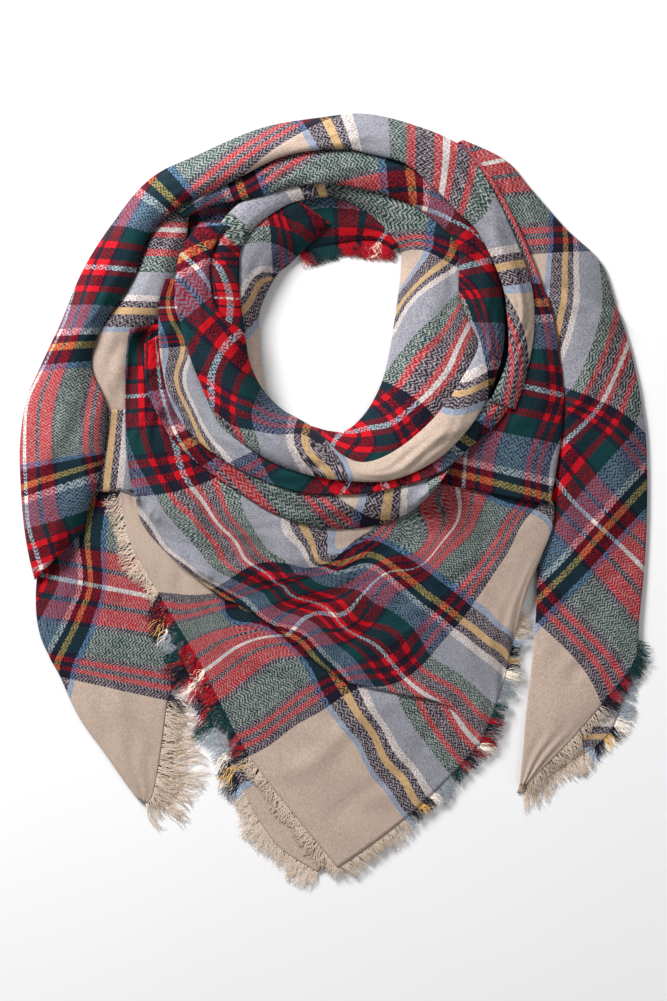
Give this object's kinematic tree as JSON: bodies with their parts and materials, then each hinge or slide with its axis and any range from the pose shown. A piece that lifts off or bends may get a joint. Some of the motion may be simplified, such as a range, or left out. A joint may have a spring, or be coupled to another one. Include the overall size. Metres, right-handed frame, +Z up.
{
  "type": "blanket scarf",
  "caption": "Square plaid blanket scarf folded corner to corner, wound into a loose ring and laid flat, with two tails, a point in front and short eyelash fringe.",
  "frame": {"origin": "centre of the laid scarf's outline, on the surface it lies on", "axes": "+X to the wearer's left as laid, towards the long tail; +Y from the point of the bib towards the back of the neck; +Z up from the surface"},
  "size_m": [0.6331, 0.7685, 0.0523],
  "materials": {
    "plaid_cloth": "brushed twill in red, green, navy, grey-blue and beige",
    "hidden_layers": "brushed twill, folded layers",
    "fringe_yarn": "combed yarn ends"
  },
  "bodies": {
    "root": {"heap_core": "hidden_layers", "tail_left_under": "plaid_cloth", "tail_left": "plaid_cloth", "tail_right_under": "plaid_cloth", "tail_right": "plaid_cloth", "neck_edge": "plaid_cloth", "shoulder_fold_left": "plaid_cloth", "edge_fold_left": "plaid_cloth", "bib_under": "plaid_cloth", "bib_lower": "plaid_cloth", "bib_upper": "plaid_cloth", "bib_rise_right": "plaid_cloth", "cowl_lower": "plaid_cloth", "cowl_middle": "plaid_cloth", "inner_fold_left": "plaid_cloth", "inner_fold_right": "plaid_cloth", "fold_top_left": "plaid_cloth", "roll_main": "plaid_cloth", "outer_band": "plaid_cloth", "fringe_tail_left_under": "fringe_yarn", "fringe_tail_left": "fringe_yarn", "fringe_tail_right_under": "fringe_yarn", "fringe_tail_right": "fringe_yarn", "fringe_neck": "fringe_yarn", "fringe_bib_under": "fringe_yarn", "fringe_bib_left": "fringe_yarn", "fringe_bib_right": "fringe_yarn", "fringe_bib_side": "fringe_yarn"}
  },
  "joints": []
}
